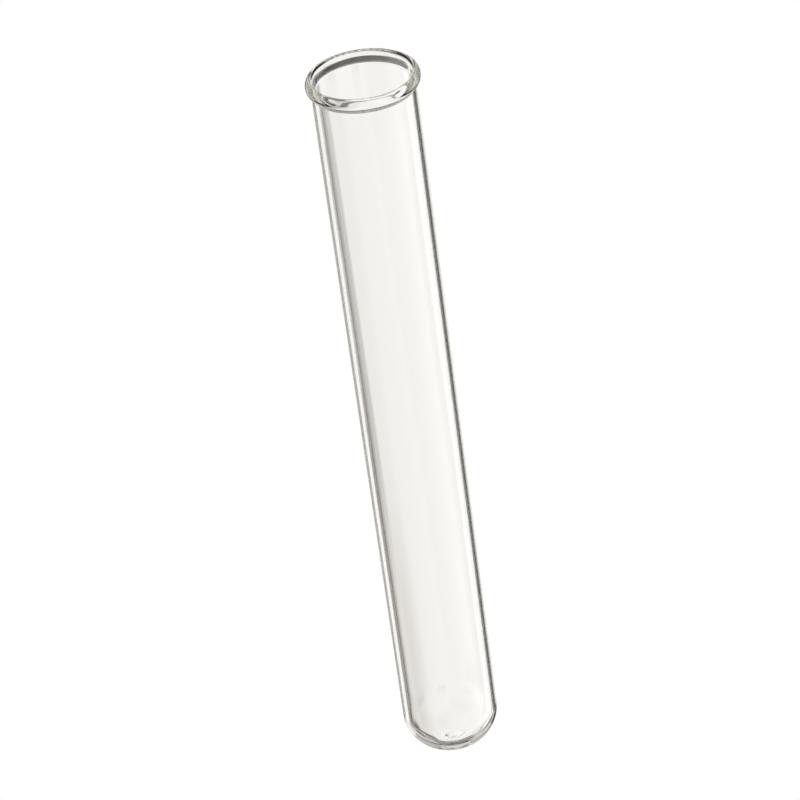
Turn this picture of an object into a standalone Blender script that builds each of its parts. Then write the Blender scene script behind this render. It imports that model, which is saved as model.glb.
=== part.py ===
"""Test tube, 25 x 200 mm: one piece of clear borosilicate glass.

A drawn tube, closed at the bottom by a round end that the flame left a little thicker, and rolled
outwards at the mouth into a fire-polished bead. Metres, +Z up along the tube's axis, with the mouth
at the top and the origin at the outermost point of the round bottom.
"""
import math

import bpy

# Driving dimensions
LENGTH = 0.200            # overall, bottom to the top of the bead
OUTER_DIAMETER = 0.025    # of the straight wall
WALL = 0.0013             # of the straight wall
END_DEPTH = 0.0111        # of the round bottom outside, a little flatter than a hemisphere
BORE_END_DEPTH = 0.0095   # of the round bottom inside
BOTTOM_THICKNESS = 0.0019  # of the glass on the axis
RIM_DIAMETER = 0.0273     # across the outside of the bead
RIM_HEIGHT = 0.0032       # of the bead, from its top to its underside
LIP_INSET = 0.0008        # how far the bead reaches inwards from its own crown
LIP_TAPER = 0.0020        # length over which the bore opens up to the lip
NECK = 0.0011             # height of the hollow curve between the bead and the wall

# Fineness of the facets
TURN_STEPS = 64
END_STEPS = 10
BEAD_STEPS = 8
CURVE_STEPS = 4

# Derived sizes
OUTER_RADIUS = OUTER_DIAMETER / 2
BORE_RADIUS = OUTER_RADIUS - WALL
RIM_RADIUS = RIM_DIAMETER / 2
CROWN_RADIUS = OUTER_RADIUS - 0.1 * WALL     # where the bead is highest
BEAD_HALF_HEIGHT = RIM_HEIGHT / 2
BEAD_CENTRE = LENGTH - BEAD_HALF_HEIGHT
UNDERCUT_ANGLE = math.radians(-55)           # where the bead's curve meets the neck
AXIS_MERGE = 1e-5                            # joins the points on the axis into one

GLASS_COLOUR = (0.93, 0.94, 0.92, 1.0)


def remove_startup_objects():
    for obj in list(bpy.data.objects):
        bpy.data.objects.remove(obj)


def arc(centre, radii, start, end, steps):
    """Points (radius, height) along an ellipse's arc, both ends included, with angles in radians."""
    angles = [start + (end - start) * i / steps for i in range(steps + 1)]
    return [(centre[0] + radii[0] * math.cos(a), centre[1] + radii[1] * math.sin(a)) for a in angles]


def blend(start, start_slope, end, end_slope, steps):
    """Points of the smooth curve between two points that leaves and arrives along the given slopes."""
    points = []
    for i in range(1, steps):
        t = i / steps
        weights = (2 * t**3 - 3 * t**2 + 1, t**3 - 2 * t**2 + t, -2 * t**3 + 3 * t**2, t**3 - t**2)
        parts = (start, start_slope, end, end_slope)
        points.append(tuple(sum(w * p[k] for w, p in zip(weights, parts)) for k in (0, 1)))
    return points


def round_end(radius, depth, base, start, end):
    """The half ellipsoid whose lowest point is at the height base, as an arc."""
    return arc((0, base + depth), (radius, depth), start, end, END_STEPS)


def bead_curve():
    """The bead, from the lip inside the mouth, over its crown, to its underside."""
    inner = arc((CROWN_RADIUS, BEAD_CENTRE), (LIP_INSET, BEAD_HALF_HEIGHT),
                math.pi, math.pi / 2, BEAD_STEPS // 2)
    reach = RIM_RADIUS - CROWN_RADIUS
    outer = arc((CROWN_RADIUS, BEAD_CENTRE), (reach, BEAD_HALF_HEIGHT),
                math.pi / 2, UNDERCUT_ANGLE, BEAD_STEPS)
    return inner + outer[1:]


def tube_outline():
    """(radius, height) from the bore's lowest point, up the bore, over the bead and down outside."""
    bore_end = round_end(BORE_RADIUS, BORE_END_DEPTH, BOTTOM_THICKNESS, -math.pi / 2, 0)
    outer_end = round_end(OUTER_RADIUS, END_DEPTH, 0, 0, -math.pi / 2)
    bead = bead_curve()
    taper_start = (BORE_RADIUS, bead[0][1] - LIP_TAPER)
    upwards = (0, LIP_TAPER)
    taper = [taper_start] + blend(taper_start, upwards, bead[0], upwards, CURVE_STEPS)
    underside = bead[-1]
    neck_end = (OUTER_RADIUS, BEAD_CENTRE - BEAD_HALF_HEIGHT - NECK / 2)
    inwards = (-NECK, -NECK / 2)
    neck = blend(underside, inwards, neck_end, (0, -NECK), CURVE_STEPS) + [neck_end]
    return bore_end + taper + bead + neck + outer_end


def glass_material():
    material = bpy.data.materials.new("clear_glass")
    material.use_nodes = True
    shader = material.node_tree.nodes["Principled BSDF"]
    shader.inputs["Base Color"].default_value = GLASS_COLOUR
    shader.inputs["Roughness"].default_value = 0.0
    shader.inputs["Metallic"].default_value = 0.0
    shader.inputs["IOR"].default_value = 1.473
    shader.inputs["Transmission Weight"].default_value = 1.0
    return material


def add_glass_tube():
    """The whole tube, its outline turned once round the Z axis."""
    outline = tube_outline()
    points = [(radius if radius > AXIS_MERGE else 0.0, 0.0, height) for radius, height in outline]
    edges = [(i, i + 1) for i in range(len(points) - 1)]
    mesh = bpy.data.meshes.new("glass_tube")
    mesh.from_pydata(points, edges, [])
    tube = bpy.data.objects.new("glass_tube", mesh)
    bpy.context.collection.objects.link(tube)
    mesh.materials.append(glass_material())
    turn = tube.modifiers.new("turn", "SCREW")
    turn.steps = TURN_STEPS
    turn.render_steps = TURN_STEPS
    turn.use_merge_vertices = True
    turn.merge_threshold = AXIS_MERGE
    turn.use_smooth_shade = True
    return tube


remove_startup_objects()
add_glass_tube()
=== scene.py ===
"""Looks for the 25 x 200 mm test tube: fine glass mesh, glass material, light tent and camera.

Metres throughout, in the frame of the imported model: +Z up the tube's axis, the origin at the
outermost point of the round bottom.
"""
import math

import bpy
from mathutils import Matrix, Vector


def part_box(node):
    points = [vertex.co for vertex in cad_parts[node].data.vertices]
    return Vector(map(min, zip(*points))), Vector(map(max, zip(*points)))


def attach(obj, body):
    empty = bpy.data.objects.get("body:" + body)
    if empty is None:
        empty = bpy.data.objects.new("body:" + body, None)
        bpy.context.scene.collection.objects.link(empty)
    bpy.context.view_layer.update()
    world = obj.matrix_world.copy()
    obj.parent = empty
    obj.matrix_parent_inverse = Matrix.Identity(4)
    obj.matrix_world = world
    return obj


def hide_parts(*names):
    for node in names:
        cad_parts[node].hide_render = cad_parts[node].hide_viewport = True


# Shape of the glass
WALL = 0.0013  # of the straight wall
OUTER_RADIUS = 0.0125  # of the straight wall
END_DEPTH = 0.0111  # of the round bottom outside, a little flatter than a hemisphere
BORE_END_DEPTH = 0.0095  # of the round bottom inside
BOTTOM_THICKNESS = 0.0019  # of the glass on the axis
RIM_HEIGHT = 0.0032  # of the bead's oval section
CROWN_INSET = 0.1  # share of the wall by which the top of the bead lies inside its outer face
LIP_INSET = 0.0008  # how far the bead reaches inwards from its own crown
LIP_TAPER = 0.0020  # length over which the bore opens up to the lip
NECK = 0.0011  # size of the hollow curve from bead to wall, which ends half of this below the oval
UNDERCUT_ANGLE = math.radians(-55)  # where the bead's curve meets the neck
SEAL_RADIUS = 0.0028  # of the ring-shaped ridge that sealing the bottom left outside
SEAL_WIDTH = 0.0006  # from the middle of the ridge to about a third of its height
SEAL_HEIGHT = 0.00026  # how far the ridge stands proud of the round bottom

# Fineness of the mesh
AROUND = 256
END_STEPS = 48
BEAD_STEPS = 40
CURVE_STEPS = 14
WALL_STEPS = 90

# Camera
CAMERA_LENS = 149.0  # millimetres
SENSOR_WIDTH = 36.0  # millimetres
CAMERA_DISTANCE = 0.8206  # from the point that it is aimed at
CAMERA_ELEVATION = math.radians(33.1)
CAMERA_ROLL = math.radians(8.0)
CAMERA_AIM_HEIGHT = 0.10875  # on the tube's axis
CAMERA_SIDESTEP = -0.00179  # of the whole camera, to its right
CLIP_START = 0.01
CLIP_END = 20.0

# Glass looks
GLASS_IOR = 1.473
SMUDGE_ROUGHNESS = 0.04  # where a smudge is strongest; clean glass has none
SMUDGE_START = 0.62  # noise value where a smudge begins
SMUDGE_FULL = 0.80  # and where it is strongest
SMUDGE_SCALE = 260.0
SMUDGE_DETAIL = 5.0
SMUDGE_STRETCH = (1.0, 1.0, 0.5)
DRAW_LINE_DEPTH = 2e-6
DRAW_LINE_SCALE = 420.0
DRAW_LINE_DETAIL = 2.0
DRAW_LINE_STRETCH = (1.0, 1.0, 0.02)  # long lines up the tube
BULK_COLOUR = (0.72, 0.74, 0.56, 1.0)  # tint of light that has run through the glass
BULK_DENSITY = 0.9

# Light tent, cards and floor
TENT_RADIUS = 3.0
TENT_CENTRE = 0.1  # height of its middle
TENT_STEP = 1  # degrees between its vertices
FLOOR_HEIGHT = -3.2  # well below the tube, which hangs clear of it
SWEEP_RADIUS = 3.6
SWEEP_TOP = 3.6
SWEEP_BEND = 0.8  # radius of the floor's upturned edge
SWEEP_BEND_STEPS = 16
SWEEP_AROUND = 64
SWEEP_COLOUR = (1.0, 1.0, 1.0)
WARM_WHITE = (1.0, 0.992, 0.962)  # tint of a bright card
WARM_BLACK = (1.0, 0.90, 0.80)  # tint of a dark card
RIM_FLAG_WIDTH = 0.040
RIM_FLAG_BEHIND = 0.0285  # distance behind the tube's axis
RIM_FLAG_LOW = 0.1910
RIM_FLAG_FADE = 0.0010  # height of its soft lower edge
RIM_FLAG_TOP = 0.2100
RIM_FLAG_LEFT = 0.0  # brightness at its left end
RIM_FLAG_RIGHT = 0.24  # and at its right end
RIM_FLAG_EDGE = 1.0  # brightness along its lower edge
RIM_FLAG_STEPS = 12
LIGHT_BOUNCES = 256


def arc(centre, radii, start, end, steps):
    """Points (radius, height) along an ellipse's arc, both ends included, with angles in radians."""
    angles = [start + (end - start) * i / steps for i in range(steps + 1)]
    return [(centre[0] + radii[0] * math.cos(a), centre[1] + radii[1] * math.sin(a)) for a in angles]


def blend(start, start_slope, end, end_slope, steps):
    """Points of the smooth curve between two points that leaves and arrives along the given slopes."""
    points = []
    for i in range(1, steps):
        t = i / steps
        weights = (2 * t**3 - 3 * t**2 + 1, t**3 - 2 * t**2 + t, -2 * t**3 + 3 * t**2, t**3 - t**2)
        parts = (start, start_slope, end, end_slope)
        points.append(tuple(sum(w * p[k] for w, p in zip(weights, parts)) for k in (0, 1)))
    return points


def straight(start, end, steps):
    """The points strictly between two ends of a straight stretch."""
    return [tuple(a + (b - a) * i / steps for a, b in zip(start, end)) for i in range(1, steps)]


def bell(x, centre, width):
    return math.exp(-(((x - centre) / width) ** 2))


def seal_mark(point):
    """A point of the round bottom's outside, lowered where sealing the glass left its small ring."""
    radius, height = point
    return radius, height - SEAL_HEIGHT * bell(radius, SEAL_RADIUS, SEAL_WIDTH)


def tube_outline(length, rim_radius):
    """(radius, height) from the bore's lowest point, up the bore, over the bead and down outside."""
    bore_radius = OUTER_RADIUS - WALL
    crown = OUTER_RADIUS - CROWN_INSET * WALL
    half = RIM_HEIGHT / 2
    centre = length - half
    bore_end = arc((0, BOTTOM_THICKNESS + BORE_END_DEPTH), (bore_radius, BORE_END_DEPTH),
                   -math.pi / 2, 0, END_STEPS)
    inner_bead = arc((crown, centre), (LIP_INSET, half), math.pi, math.pi / 2, BEAD_STEPS // 2)
    outer_bead = arc((crown, centre), (rim_radius - crown, half),
                     math.pi / 2, UNDERCUT_ANGLE, BEAD_STEPS)
    lip = inner_bead[0]
    taper_start = (bore_radius, lip[1] - LIP_TAPER)
    taper = blend(taper_start, (0, LIP_TAPER), lip, (0, LIP_TAPER), CURVE_STEPS)
    underside = outer_bead[-1]
    neck_end = (OUTER_RADIUS, centre - half - NECK / 2)
    neck = blend(underside, (-NECK, -NECK / 2), neck_end, (0, -NECK), CURVE_STEPS)
    outer_end = arc((0, END_DEPTH), (OUTER_RADIUS, END_DEPTH), 0, -math.pi / 2, END_STEPS)
    inside = bore_end + straight(bore_end[-1], taper_start, WALL_STEPS) + [taper_start] + taper
    outside = [neck_end] + straight(neck_end, outer_end[0], WALL_STEPS)
    outside += [seal_mark(point) for point in outer_end]
    return inside + inner_bead + outer_bead[1:] + neck + outside


def add_glass_piece(name, length, rim_radius):
    """The outline turned once round the axis, both ends closed on it."""
    outline = tube_outline(length, rim_radius)
    rings = outline[1:-1]
    vertices = [(0, 0, outline[0][1])]
    for radius, height in rings:
        for j in range(AROUND):
            a = 2 * math.pi * j / AROUND
            vertices.append((radius * math.cos(a), radius * math.sin(a), height))
    vertices.append((0, 0, outline[-1][1]))
    last = len(vertices) - 1
    faces = []
    for j in range(AROUND):
        k = (j + 1) % AROUND
        faces.append((0, 1 + j, 1 + k))
        for i in range(len(rings) - 1):
            a = 1 + i * AROUND
            b = a + AROUND
            faces.append((a + j, b + j, b + k, a + k))
        faces.append((last - AROUND + j, last, last - AROUND + k))
    mesh = bpy.data.meshes.new(name)
    mesh.from_pydata(vertices, [], faces)
    mesh.validate()
    mesh.shade_smooth()
    piece = bpy.data.objects.new(name, mesh)
    bpy.context.scene.collection.objects.link(piece)
    return piece


def new_material(name):
    material = bpy.data.materials.new(name)
    material.use_nodes = True
    material.node_tree.nodes.clear()
    return material, material.node_tree.nodes, material.node_tree.links


def stretched_noise(nodes, links, scale, detail, stretch):
    """Noise fixed to the piece, whose pattern is drawn out along an axis where stretch is small."""
    place = nodes.new("ShaderNodeTexCoord")
    mapping = nodes.new("ShaderNodeMapping")
    mapping.inputs["Scale"].default_value = stretch
    links.new(place.outputs["Object"], mapping.inputs["Vector"])
    texture = nodes.new("ShaderNodeTexNoise")
    texture.inputs["Scale"].default_value = scale
    texture.inputs["Detail"].default_value = detail
    links.new(mapping.outputs["Vector"], texture.inputs["Vector"])
    return texture.outputs["Fac"]


def add_smudges(nodes, links, shader):
    """A few dull patches, where the glass has been handled."""
    marks = stretched_noise(nodes, links, SMUDGE_SCALE, SMUDGE_DETAIL, SMUDGE_STRETCH)
    smudges = nodes.new("ShaderNodeMapRange")
    smudges.inputs["From Min"].default_value = SMUDGE_START
    smudges.inputs["From Max"].default_value = SMUDGE_FULL
    smudges.inputs["To Min"].default_value = 0.0
    smudges.inputs["To Max"].default_value = SMUDGE_ROUGHNESS
    links.new(marks, smudges.inputs["Value"])
    links.new(smudges.outputs["Result"], shader.inputs["Roughness"])


def add_draw_lines(nodes, links, shader):
    """Very faint lines along the wall, left by drawing the tube."""
    height = stretched_noise(nodes, links, DRAW_LINE_SCALE, DRAW_LINE_DETAIL, DRAW_LINE_STRETCH)
    draw_lines = nodes.new("ShaderNodeBump")
    draw_lines.inputs["Distance"].default_value = DRAW_LINE_DEPTH
    draw_lines.inputs["Strength"].default_value = 1.0
    links.new(height, draw_lines.inputs["Height"])
    links.new(draw_lines.outputs["Normal"], shader.inputs["Normal"])


def glass_material():
    """Clear borosilicate: faint draw lines, a few dull smudges and a little grey-green in the bulk."""
    material, nodes, links = new_material("clear_glass")
    out = nodes.new("ShaderNodeOutputMaterial")
    shader = nodes.new("ShaderNodeBsdfPrincipled")
    shader.inputs["Base Color"].default_value = (1.0, 1.0, 1.0, 1.0)
    shader.inputs["IOR"].default_value = GLASS_IOR
    shader.inputs["Transmission Weight"].default_value = 1.0
    add_smudges(nodes, links, shader)
    add_draw_lines(nodes, links, shader)
    links.new(shader.outputs[0], out.inputs["Surface"])
    bulk = nodes.new("ShaderNodeVolumeAbsorption")
    bulk.inputs["Color"].default_value = BULK_COLOUR
    bulk.inputs["Density"].default_value = BULK_DENSITY
    links.new(bulk.outputs[0], out.inputs["Volume"])
    return material


# Each card: name, left and right edge round the tube, low and high edge, all in degrees, brightness,
# and how soft the side edges and the top and bottom edges are. Azimuth 0 is straight behind the tube
# as the camera sees it, and grows to the right. A later card covers an earlier one.
CARDS = (
    ("room", -180, 180, -90, 90, 0.75, 5, 5),
    ("wall_left", -170, -62, -55, 10, 0.52, 30, 6),
    ("wall_right", 75, 180, -55, 20, 0.95, 20, 6),
    ("dark_card_behind_left", -180, -97, 18, 57, 0.05, 8, 8),
    ("grey_card_behind_left", -180, -97, 18, 35, 0.38, 8, 5),
    ("light_card_behind_right", 97, 180, 18, 60, 1.00, 8, 8),
    ("grey_card_right", 28, 95, 14, 55, 0.50, 6, 6),
    ("grey_card_left", -95, -32, 14, 55, 0.45, 10, 6),
    ("dark_card_top_right", 30, 95, 58, 90, 0.03, 6, 4),
    ("grey_card_top_behind", 100, 180, 62, 90, 0.40, 8, 4),
    ("grey_card_top_left", -180, -97, 57, 90, 0.40, 8, 4),
    ("floor", -180, 180, -90, -56, 0.60, 5, 4),
    ("floor_behind_left", -180, -108, -80, -57, 1.30, 10, 4),
    ("floor_behind_right", 125, 180, -90, -57, 1.00, 10, 4),
    ("dark_floor", -108, 120, -90, -70, 0.16, 12, 5),
    ("dark_floor_left", -108, -68, -80, -57, 0.06, 8, 4),
    ("shade_far_left", -82, -48, -56, 8, 0.27, 8, 4),
    ("shade_low_left", -118, -56, -60, -41, 0.08, 5, 4),
    ("white_card_left", -46.5, -29.5, -45, 8, 1.12, 5, 3),
    ("white_card_low", -42, -21, -58, -44.5, 0.80, 5, 3),
    ("black_flag_left", -29.5, -15, -44, 8, 0.14, 2.5, 3),
    ("backdrop", -15, 24, -62, 8, 0.93, 1, 2),
    ("backdrop_edge_left", -15, -8, -43.5, 8, 0.58, 1, 2),
    ("backdrop_left", -8, -3.5, -62, 8, 0.88, 2, 2),
    ("backdrop_left_low", -13, -4, -44, -36, 0.74, 5, 4),
    ("backdrop_right", 4, 24, -60, 8, 1.02, 6, 3),
    ("black_flag_low", -21, -10, -56, -43, 0.10, 2.5, 2.5),
    ("black_flag_lowest", -23, -12, -63, -54.5, 0.15, 2.5, 2),
    ("black_flag_right", 24, 47, -58, 8, 0.05, 1.5, 4),
    ("softbox_right", 47, 75, -58, 8, 1.28, 2, 4),
    ("dark_floor_middle", -26, 24, -90, -60.5, 0.05, 4, 2.5),
    ("dark_horizon", -16, 14, -21.5, -11, 0.03, 4, 3),
    ("side_backdrop", -60, -31, -33, -12, 1.0, 1.5, 3),
    ("side_flag", -86, -64, -34, -12, 0.08, 1.5, 2),
    ("back_backdrop", 114, 156, -26, -4, 1.0, 1.5, 2),
    ("back_flag_left", 91, 113, -26, -4, 0.08, 1.5, 2),
    ("back_flag_right", 157, 176, -26, -4, 0.08, 1.5, 2),
    ("left_backdrop", -111, -69, -26, 8, 0.95, 1.5, 8),
    ("left_flag_near", -134, -112, -16, 8, 0.08, 1.5, 2),
    ("left_flag_far", -68, -50, -11, 8, 0.08, 1.5, 2),
)


def ramp(value, edge, width):
    """0 well below the edge, 1 well above it, and a smooth step between."""
    t = min(1.0, max(0.0, (value - edge) / width + 0.5))
    return t * t * (3 - 2 * t)


def side_cover(azimuth, left, right, soft):
    """How far a card covers this azimuth, from 0 to 1; one that ends at 180 has no soft edge there."""
    if right - left >= 360:
        return 1.0
    cover = ramp(azimuth, left, soft)
    if right < 180:
        cover *= 1 - ramp(azimuth, right, soft)
    return cover


def tent_brightness(azimuth, elevation):
    """The brightness of the tent in this direction, with every card laid on in turn."""
    brightness = 0.0
    for _, left, right, low, high, level, side_soft, end_soft in CARDS:
        cover = side_cover(azimuth, left, right, side_soft)
        if low > -90:
            cover *= ramp(elevation, low, end_soft)
        if high < 90:
            cover *= 1 - ramp(elevation, high, end_soft)
        brightness += (level - brightness) * cover
    return brightness


def glow_material(name, colour=None):
    """A shining surface of an even colour, or of the colours stored on the mesh where none is given."""
    material, nodes, links = new_material(name)
    out = nodes.new("ShaderNodeOutputMaterial")
    glow = nodes.new("ShaderNodeEmission")
    if colour is None:
        stored = nodes.new("ShaderNodeAttribute")
        stored.attribute_name = "glow"
        links.new(stored.outputs["Color"], glow.inputs["Color"])
    else:
        glow.inputs["Color"].default_value = (*colour, 1.0)
    links.new(glow.outputs[0], out.inputs["Surface"])
    return material


def add_staged(name, vertices, faces, material):
    """A mesh that is part of the scene and not of the object."""
    mesh = bpy.data.meshes.new(name)
    mesh.from_pydata(vertices, [], faces)
    mesh.materials.append(material)
    staged = bpy.data.objects.new(name, mesh)
    bpy.context.scene.collection.objects.link(staged)
    return staged


def add_cards(name, vertices, faces, brightness):
    """Cards that only the glass sees, each vertex with its own brightness, the dark ones warmer."""
    cards = add_staged(name, vertices, faces, glow_material(name))
    colours = []
    for level in brightness:
        white = min(level, 1.0)
        for dark, light in zip(WARM_BLACK, WARM_WHITE):
            colours.append(level * (dark + (light - dark) * white))
        colours.append(1.0)
    cards.data.attributes.new("glow", "FLOAT_COLOR", "POINT").data.foreach_set("color", colours)
    cards.visible_camera = False
    cards.visible_diffuse = False
    cards.visible_shadow = False


def tent_point(azimuth, elevation):
    """The point of the tent in this direction, in degrees, as seen from its middle."""
    a = math.radians(azimuth)
    e = math.radians(elevation)
    out = TENT_RADIUS * math.cos(e)
    return out * math.sin(a), out * math.cos(a), TENT_CENTRE + TENT_RADIUS * math.sin(e)


def add_light_tent():
    """A closed tent of light, grey and dark cards all round the tube, which only the glass sees."""
    vertices = []
    faces = []
    glow = []
    rows = 180 // TENT_STEP
    columns = 360 // TENT_STEP
    for row in range(rows + 1):
        elevation = -90 + row * TENT_STEP
        for column in range(columns + 1):
            azimuth = -180 + column * TENT_STEP
            vertices.append(tent_point(azimuth, elevation))
            glow.append(tent_brightness(azimuth, elevation))
    for row in range(rows):
        for column in range(columns):
            corner = row * (columns + 1) + column
            faces.append((corner, corner + 1, corner + columns + 2, corner + columns + 1))
    add_cards("light_tent", vertices, faces, glow)


def add_rim_flag():
    """A small dark card close behind the mouth, which draws the dark crescent inside the bead."""
    vertices = []
    faces = []
    glow = []
    heights = (RIM_FLAG_LOW, RIM_FLAG_LOW + RIM_FLAG_FADE, RIM_FLAG_TOP)
    for i in range(RIM_FLAG_STEPS + 1):
        across = i / RIM_FLAG_STEPS
        shade = RIM_FLAG_LEFT + (RIM_FLAG_RIGHT - RIM_FLAG_LEFT) * across
        vertices += [(RIM_FLAG_WIDTH * (across - 0.5), RIM_FLAG_BEHIND, height) for height in heights]
        glow += [RIM_FLAG_EDGE, shade, shade]
    for i in range(RIM_FLAG_STEPS):
        for j in (0, 1):
            corner = 3 * i + j
            faces.append((corner, corner + 1, corner + 4, corner + 3))
    add_cards("rim_flag", vertices, faces, glow)


def sweep_outline():
    """(radius, height) of the floor from its middle, up its bent edge and back over the top."""
    flat_end = SWEEP_RADIUS - SWEEP_BEND
    bend = arc((flat_end, FLOOR_HEIGHT + SWEEP_BEND), (SWEEP_BEND, SWEEP_BEND),
               -math.pi / 2, 0, SWEEP_BEND_STEPS)
    return [(0.0, FLOOR_HEIGHT)] + bend + [(SWEEP_RADIUS, SWEEP_TOP), (0.0, SWEEP_TOP)]


def add_sweep():
    """The floor, walls and ceiling, one pale seamless surface outside the tent."""
    outline = sweep_outline()
    vertices = []
    faces = []
    for radius, height in outline:
        for j in range(SWEEP_AROUND):
            a = 2 * math.pi * j / SWEEP_AROUND
            vertices.append((radius * math.cos(a), radius * math.sin(a), height))
    for i in range(len(outline) - 1):
        a = i * SWEEP_AROUND
        b = a + SWEEP_AROUND
        for j in range(SWEEP_AROUND):
            k = (j + 1) % SWEEP_AROUND
            faces.append((a + j, a + k, b + k, b + j))
    add_staged("sweep", vertices, faces, glow_material("sweep", SWEEP_COLOUR))


def add_camera():
    """The camera above and in front of the tube, rolled so that the tube leans in the picture."""
    data = bpy.data.cameras.new("camera")
    data.lens = CAMERA_LENS
    data.sensor_width = SENSOR_WIDTH
    data.clip_start = CLIP_START
    data.clip_end = CLIP_END
    camera = bpy.data.objects.new("camera", data)
    bpy.context.scene.collection.objects.link(camera)
    back = Vector((0, -math.cos(CAMERA_ELEVATION), math.sin(CAMERA_ELEVATION)))
    right = Vector((1, 0, 0))
    up = back.cross(right)
    aim = Vector((0, 0, CAMERA_AIM_HEIGHT))
    position = aim + back * CAMERA_DISTANCE + right * CAMERA_SIDESTEP
    turn = Matrix((right, up, back)).transposed()
    roll = Matrix.Rotation(-CAMERA_ROLL, 3, "Z")
    camera.matrix_world = Matrix.Translation(position) @ (turn @ roll).to_4x4()
    bpy.context.scene.camera = camera


def set_light_paths():
    """Many bounces, because light runs the length of the wall inside the glass before it gets out."""
    paths = bpy.context.scene.cycles
    paths.max_bounces = LIGHT_BOUNCES
    paths.glossy_bounces = LIGHT_BOUNCES
    paths.transmission_bounces = LIGHT_BOUNCES


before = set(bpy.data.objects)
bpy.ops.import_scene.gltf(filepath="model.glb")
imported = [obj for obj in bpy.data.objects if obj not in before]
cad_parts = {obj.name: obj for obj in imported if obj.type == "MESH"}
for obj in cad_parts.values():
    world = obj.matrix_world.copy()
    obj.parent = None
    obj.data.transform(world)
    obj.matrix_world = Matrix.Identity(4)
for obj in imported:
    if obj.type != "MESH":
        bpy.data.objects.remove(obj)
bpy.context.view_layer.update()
low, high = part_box("glass_tube")
tube = add_glass_piece("glass_tube_clear", high[2] - low[2], (high[0] - low[0]) / 2)
tube.data.materials.append(glass_material())
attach(tube, "root")
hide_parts("glass_tube")

add_sweep()
add_light_tent()
add_rim_flag()
set_light_paths()
add_camera()
bpy.context.scene.view_settings.view_transform = "Standard"
